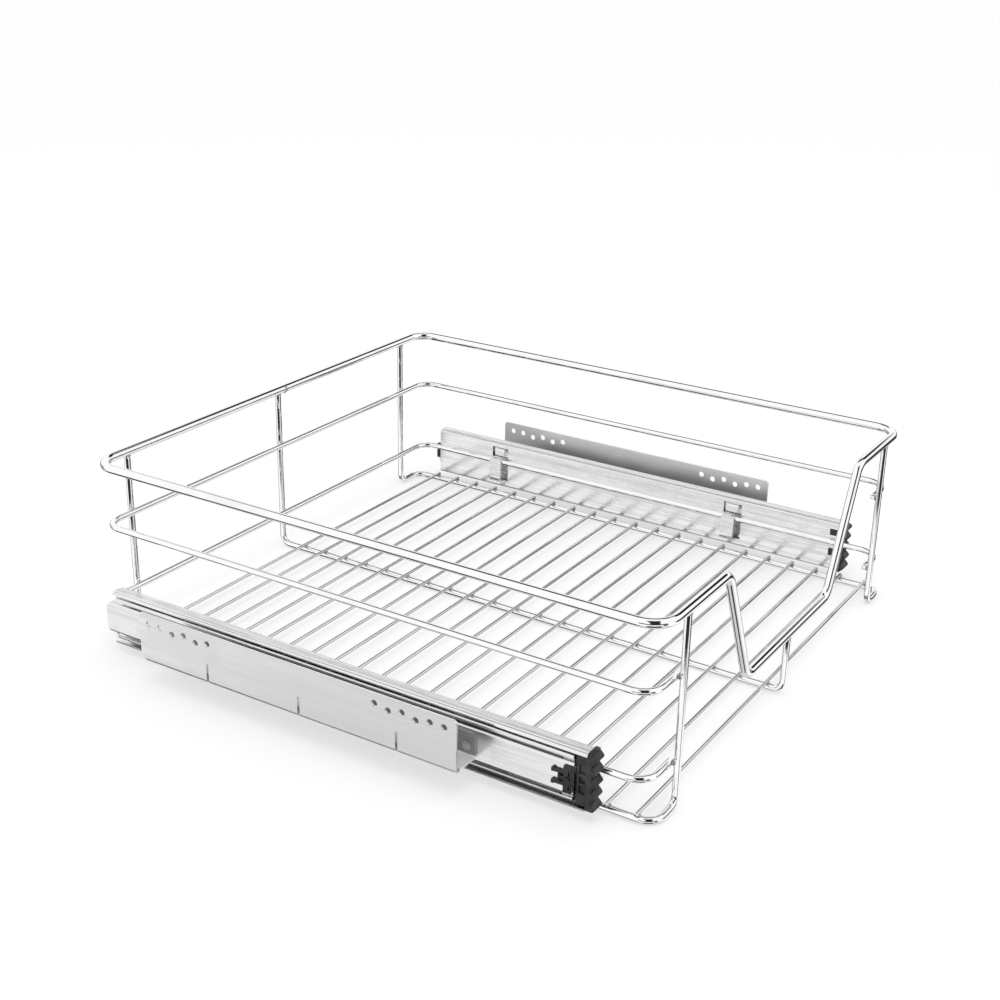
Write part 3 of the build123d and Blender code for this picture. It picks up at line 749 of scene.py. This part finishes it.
# %% Side frames and centre support
upright_bend = 8 * MM
corner_bend = 12 * MM
weld_gap = 0.1 * MM              # that the solids keep between wires
for side_name, side in SIDES:
    name = side_name + "_side_frame"
    wire = bent_wire(
        name,
        [
            (side * upright_x, -half_depth, side_high.z),
            (side * upright_x, -half_depth, foot_level),
            (side * side_wire_x, -half_depth, foot_level),
            (side * side_wire_x, half_depth, foot_level),
            (side * upright_x, half_depth, foot_level),
            (side * upright_x, half_depth, side_high.z),
        ],
        [upright_bend, corner_bend, corner_bend, upright_bend], wire_d, wire_sides,
    )
    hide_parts(name + "_wire")

support = bent_wire(
    "centre_support",
    [
        (0, -half_depth, dip_level - rim_d / 2 - weld_gap),
        (0, -half_depth, foot_level),
        (0, half_depth, foot_level),
        (0, half_depth, side_high.z),
    ],
    [upright_bend] * 2, wire_d, wire_sides,
)
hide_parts("centre_support_wire")
print("uprights end at", round(side_high.z, 4))

# %% [markdown]
# ### Floor rods
#
# The floor is straight rods across the three frames. They differ only in place and length, so
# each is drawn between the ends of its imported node's box.

# %% Floor rods
rod_nodes = sorted(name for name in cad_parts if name.startswith("floor_wire_"))
rod_places = []
for node_name in rod_nodes:
    low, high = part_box(node_name)
    middle = (low + high) / 2
    rod_places.append(middle.y)
    rod = bent_wire(
        node_name.replace("wire", "rod"),
        [(low.x, middle.y, middle.z), (high.x, middle.y, middle.z)],
        [], rod_d, rod_sides,
        finish=rod_chrome_painted_shade,
    )
    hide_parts(node_name)
print("floor rods:", len(rod_places), "at level", round(middle.z, 4))

# %% [markdown]
# ## Welds
#
# The wires are resistance-welded: a little metal squeezes out on both sides of each crossing,
# and the chrome goes over it. Each bead is a sphere pressed into shape in edit mode and then
# made uneven, and all the beads of one kind are one piece.

# %% Beads of weld metal
bead_unevenness = 0.1 * MM


def weld_beads(name, beads, seed):
    """Beads, each given by its middle and its three half sizes, as one piece."""
    bpy.ops.object.select_all(action="DESELECT")
    bpy.ops.mesh.primitive_uv_sphere_add(segments=14, ring_count=8, radius=1, location=beads[0][0])
    welds = bpy.context.object
    edit(welds)
    bpy.ops.transform.resize(value=beads[0][1], center_override=beads[0][0])
    for middle, half_sizes in beads[1:]:
        bpy.ops.mesh.select_all(action="DESELECT")
        bpy.ops.mesh.primitive_uv_sphere_add(segments=14, ring_count=8, radius=1, location=middle)
        bpy.ops.transform.resize(value=half_sizes, center_override=middle)
    bpy.ops.mesh.select_all(action="SELECT")
    bpy.ops.transform.vertex_random(offset=bead_unevenness, uniform=0.0, normal=1.0, seed=seed)
    bpy.ops.mesh.normals_make_consistent(inside=False)
    bpy.ops.object.mode_set(mode="OBJECT")
    return finish_piece(welds, name, weld_chrome, "basket", smooth_angle=80)


# %% Floor rods on the frames
crossing_level = foot_level + wire_d / 2
rod_bead = (2.3 * MM, 2.5 * MM, 1.3 * MM)
floor_beads = [
    (Vector((x, y, crossing_level)), rod_bead)
    for y in rod_places
    for x in (-side_wire_x, 0, side_wire_x)
]
weld_beads("floor_welds", floor_beads, seed=3)
print("beads under the floor rods:", len(floor_beads))

# %% Rings on the uprights
ring_bead = (2.4 * MM, 1.3 * MM, 2.6 * MM)
joint_depth = (half_depth + ring_half_depth) / 2
ring_beads = [
    (Vector((side * upright_x, end * joint_depth, level)), ring_bead)
    for level in ring_levels.values()
    for side in (-1, 1)
    for end in (-1, 1)
]
ring_beads += [(Vector((0, joint_depth, level)), ring_bead) for level in ring_levels.values()]
weld_beads("ring_welds", ring_beads, seed=5)
print("beads on the rings:", len(ring_beads))

# %% Uprights under the rim
rim_bead = (3.0 * MM, 3.0 * MM, 1.1 * MM)
rim_foot = rim_level - rim_d / 2
rim_beads = [
    (Vector((side * upright_x, end * half_depth, rim_foot)), rim_bead)
    for side in (-1, 1)
    for end in (-1, 1)
]
rim_beads.append((Vector((0, half_depth, rim_foot)), rim_bead))
rim_beads.append((Vector((0, -half_depth, dip_level - rim_d / 2)), rim_bead))
weld_beads("rim_welds", rim_beads, seed=7)
print("beads under the rim:", len(rim_beads))

# %% [markdown]
# The rim itself is one wire whose two ends meet beside the centre upright. The butt weld was
# ground flush on top and outside, and left proud where nobody looks. It is a short collar on
# the wire: it swells in the middle, and most on the side that is below and inside.

# %% Butt weld of the rim
seam_x = 7.5 * MM
seam_half = 1.8 * MM
seam_proud = 0.5 * MM
seam_sunk = 0.05 * MM            # how far the collar's ends lie under the wire's face
seam_flush = 0.03 * MM           # what grinding left
bpy.ops.object.select_all(action="DESELECT")
bpy.ops.mesh.primitive_cylinder_add(
    vertices=rim_sides, radius=rim_d / 2 - seam_sunk, depth=2 * seam_half,
    location=(seam_x, half_depth, rim_level), rotation=(0, pi / 2, 0),
)
seam = bpy.context.object
edit(seam)
bpy.ops.mesh.subdivide(number_cuts=7)
bpy.ops.object.mode_set(mode="OBJECT")
bpy.ops.object.transform_apply(location=True, rotation=True, scale=True)
for vertex in seam.data.vertices:
    outward = Vector((0, vertex.co.y - half_depth, vertex.co.z - rim_level))
    hidden = max(0.0, -(outward.y + outward.z) / outward.length) if outward.length > MM else 0.0
    swell = cos((vertex.co.x - seam_x) / seam_half * pi / 2)
    vertex.co += outward.normalized() * swell * (hidden * seam_proud + seam_flush)
finish_piece(seam, "rim_seam", weld_chrome, "basket", smooth_angle=80)
print("seam", [round(c, 5) for c in seam.dimensions])

# %% [markdown]
# ## Front caps
#
# A moulded cap closes the front end of each channel. Its front is five rounded ridges high, so
# that the fingers find it. Its plug goes into the channel and shows two ribs between three
# recesses, and two clips reach through the web. One block could be carved into all this, but
# rounding fails where many edges meet. Each lump is therefore shaped, sliced and softened on
# its own, and the lumps reach into each other when they are joined at the end.

# %% Blocks, cuts and soft edges
def block(low, high):
    """A box between two opposite corners, in any order."""
    corners = [Vector(map(min, low, high)), Vector(map(max, low, high))]
    middle = (corners[0] + corners[1]) / 2
    bpy.ops.object.select_all(action="DESELECT")
    bpy.ops.mesh.primitive_cube_add(size=1, location=middle)
    box = bpy.context.object
    edit(box)
    bpy.ops.transform.resize(value=corners[1] - corners[0], center_override=middle)
    bpy.ops.object.mode_set(mode="OBJECT")
    bpy.ops.object.transform_apply(location=True, rotation=True, scale=True)
    return box


def cut_away(piece, tool):
    """Cuts a tool's form out of a piece, and removes the tool."""
    pick(piece)
    cut = piece.modifiers.new("cut", "BOOLEAN")
    cut.operation = "DIFFERENCE"
    cut.object = tool
    cut.solver = "EXACT"
    bpy.ops.object.modifier_apply(modifier="cut")
    bpy.data.objects.remove(tool, do_unlink=True)


def slice_off(piece, point, outward):
    """Cuts off what lies beyond a plane and closes the cut."""
    edit(piece)
    bpy.ops.mesh.bisect(plane_co=point, plane_no=Vector(outward).normalized(), use_fill=True,
                        clear_outer=True, threshold=0.0005 * MM)
    bpy.ops.object.mode_set(mode="OBJECT")


def soften(piece, width, segments=3, angle=35):
    """Cleans the faces of a piece and rounds its edges."""
    edit(piece)
    bpy.ops.mesh.remove_doubles(threshold=0.005 * MM)
    bpy.ops.mesh.dissolve_limited(angle_limit=radians(1))
    bpy.ops.mesh.normals_make_consistent(inside=False)
    bpy.ops.object.mode_set(mode="OBJECT")
    rounding = piece.modifiers.new("soft_edges", "BEVEL")
    rounding.width = width
    rounding.segments = segments
    rounding.angle_limit = radians(angle)
    bpy.ops.object.modifier_apply(modifier="soft_edges")


def join(lumps):
    """Makes one piece of closed lumps that reach into each other."""
    bpy.ops.object.select_all(action="DESELECT")
    for lump in lumps:
        lump.select_set(True)
    bpy.context.view_layer.objects.active = lumps[0]
    bpy.ops.object.join()
    return lumps[0]


# %% Ridged front of a cap
ridge_count = 5
ridge_depth = 3.5 * MM
ridge_inset = 0.1 * MM           # ridges stand in from the plate's two sides
crest_round = 1.6 * MM
crest_reach = 1.17               # how much rounding shortens a sharp crest
cap_plate = 3.5 * MM
plate_round = 0.35 * MM
cap_slant_in, cap_slant_down = 6.0 * MM, 3.0 * MM


def cap_ridge(place, width, half_height):
    """A prism with a diamond section lying across the cap, with rounded crests."""
    bpy.ops.object.select_all(action="DESELECT")
    bpy.ops.mesh.primitive_cylinder_add(vertices=4, radius=1, depth=1, location=place,
                                        rotation=(0, pi / 2, 0))
    ridge = bpy.context.object
    edit(ridge)
    bpy.ops.transform.resize(value=(width, ridge_depth * crest_reach, half_height),
                             center_override=place)
    bpy.ops.object.mode_set(mode="OBJECT")
    bpy.ops.object.transform_apply(location=True, rotation=True, scale=True)
    soften(ridge, crest_round, 4)
    return ridge


def ridged_plate(side, low, high, inner, outer):
    """The plate and its ridges, slanted off at the two outer corners, as separate lumps."""
    valley = low.y + ridge_depth
    centre = (low.z + high.z) / 2
    half_height = (high.z - low.z) / 2
    ridge_half = half_height / ridge_count
    plate = block((side * inner, valley, low.z), (side * outer, valley + cap_plate, high.z))
    ridges = []
    for index in range(ridge_count):
        place = Vector((side * (inner + outer) / 2, valley, low.z + (2 * index + 1) * ridge_half))
        ridges.append(cap_ridge(place, outer - inner - 2 * ridge_inset, ridge_half))
    for up, end_ridge in ((1, ridges[-1]), (-1, ridges[0])):
        for lump in (plate, end_ridge):
            slice_off(lump, (side * outer, low.y, centre + up * (half_height - cap_slant_down)),
                      (side * cap_slant_down, 0, up * cap_slant_in))
    soften(plate, plate_round)
    return [plate, *ridges]


# %% Plug and clips of a cap
plug_length = 8.5 * MM
plug_inset = 3.4 * MM            # plug below the channel's top, and above its foot
plug_web_gap = 1.4 * MM
plug_face_inset = 2.6 * MM
plug_round = 0.3 * MM
recess_depth = 2.2 * MM
recess_start, recess_length = 1.6 * MM, 4.6 * MM
recess_spans = ((-10.2, -4.2), (-2.4, 2.6), (4.4, 11.6))
clip_proud = 0.6 * MM
clip_spans = ((10.5, 16.0), (-8.5, -2.0))
clip_length, clip_short = 7.0 * MM, 0.2 * MM


def plug_and_clips(side, low, high, inner, outer):
    """What goes into the channel: a plug with its recesses cut, and two clips, as lumps."""
    centre = (low.z + high.z) / 2
    plug_half = (high.z - low.z) / 2 - plug_inset
    plug_in, plug_out = inner + plug_web_gap, outer - plug_face_inset
    plate_back = low.y + ridge_depth + cap_plate
    plug_back = plate_back + plug_length
    plug = block((side * plug_in, plate_back - MM, centre - plug_half),
                 (side * plug_out, plug_back, centre + plug_half))
    for foot, top in recess_spans:
        recess = block(
            (side * (plug_out - recess_depth), plate_back + recess_start, centre + foot * MM),
            (side * outer, plate_back + recess_start + recess_length, centre + top * MM),
        )
        cut_away(plug, recess)
    soften(plug, plug_round)
    lumps = [plug]
    for foot, top in clip_spans:
        clip = block((side * (inner - clip_proud), plug_back - clip_length, centre + foot * MM),
                     (side * (plug_in + MM), plug_back - clip_short, centre + top * MM))
        soften(clip, plug_round)
        lumps.append(clip)
    return lumps


# %% Both front caps
def front_cap(side_name, side):
    """Cap of one slide. side is 1 for the basket's right and -1 for its left."""
    low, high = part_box(side_name + "_front_cap")
    inner = min(abs(low.x), abs(high.x)) + clip_proud
    outer = max(abs(low.x), abs(high.x))
    lumps = ridged_plate(side, low, high, inner, outer)
    cap = join(lumps + plug_and_clips(side, low, high, inner, outer))
    finish_piece(cap, side_name + "_cap", cap_plastic, "basket", smooth_angle=50)
    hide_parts(side_name + "_front_cap")
    return cap


for side_name, side in SIDES:
    cap = front_cap(side_name, side)
    print(cap.name, "corners:", len(cap.data.vertices))

# %% [markdown]
# ## Release levers
#
# The lever is a flat plastic latch. Pushing its two springy prongs turns it on its pin and
# lifts a small tooth out of a slot in the member, and then the basket comes off its slides.
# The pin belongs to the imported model, so the lever is bored round the same centre. The zinc
# behind it shows through two narrow slots. Slots and bore are cut after the edges are softened,
# because the short edges round a bore would hold the rounding back everywhere.

# %% Lumps of a release lever
lever_t = 1.8 * MM
lever_body = 6.0 * MM
lever_round = 0.25 * MM
prong_half = 1.1 * MM
prong_pitch = 8.5 * MM
prong_length = 9.0 * MM
tooth_half = 1.5 * MM
tooth_place = 9.0 * MM           # tooth's middle behind the lever's front edge
lever_step = 0.12 * MM           # between the faces of lumps that would else share a plane
arm_step = 0.5 * MM              # the arm lies this much below the lever's face
hook_length, hook_rise = 2.2 * MM, 1.7 * MM


def lever_lumps(side, low, high, inner, outer):
    """Body, arm, tooth, and two prongs with hooked ends, each softened."""
    centre = (low.z + high.z) / 2
    tooth_tip = min(abs(low.x), abs(high.x))
    tooth_back = low.y + tooth_place + tooth_half
    back = low.y + lever_body
    prong_end = back + prong_length
    lumps = [
        block((side * inner, low.y, low.z), (side * outer, back, high.z)),
        block((side * (inner + lever_step), low.y + lever_body / 2, centre - tooth_half),
              (side * (outer - arm_step), tooth_back, centre + tooth_half)),
        block((side * tooth_tip, low.y + tooth_place - tooth_half, centre - tooth_half),
              (side * (inner + MM), tooth_back, centre + tooth_half)),
    ]
    for up in (1, -1):
        level = centre + up * prong_pitch / 2
        hook_foot = level - up * (prong_half + lever_step)
        lumps.append(block(
            (side * (inner + lever_step), back - MM, level - prong_half),
            (side * (outer - lever_step), prong_end - lever_step, level + prong_half),
        ))
        lumps.append(block((side * inner, prong_end - hook_length, hook_foot),
                           (side * outer, prong_end, level + up * hook_rise)))
    for lump in lumps:
        soften(lump, lever_round)
    return lumps


# %% Both release levers
pin_hole_r = 1.25 * MM
slot_inset, slot_width = 1.1 * MM, 1.3 * MM
slot_foot, slot_top = 2.7 * MM, 7.6 * MM


def release_lever(side_name, side):
    """Lever of one slide, with two slots in its body and a bore for its pin."""
    low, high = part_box(side_name + "_release_lever")
    outer = max(abs(low.x), abs(high.x))
    inner = outer - lever_t
    centre = (low.z + high.z) / 2
    lumps = lever_lumps(side, low, high, inner, outer)
    body, arm = lumps[:2]
    for up in (1, -1):
        slot = block((side * (inner - MM), low.y + slot_inset, centre + up * slot_foot),
                     (side * (outer + MM), low.y + slot_inset + slot_width, centre + up * slot_top))
        cut_away(body, slot)
    for lump in (body, arm):
        bpy.ops.object.select_all(action="DESELECT")
        bpy.ops.mesh.primitive_cylinder_add(
            vertices=32, radius=pin_hole_r, depth=4 * lever_t,
            location=(side * outer, low.y + lever_body / 2, centre), rotation=(0, pi / 2, 0),
        )
        cut_away(lump, bpy.context.object)
    lever = join(lumps)
    finish_piece(lever, side_name + "_lever", lever_plastic, side_name + "_release_lever",
                 smooth_angle=50)
    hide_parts(side_name + "_release_lever")
    return lever


for side_name, side in SIDES:
    lever = release_lever(side_name, side)
    print(lever.name, [round(c, 4) for c in lever.dimensions])
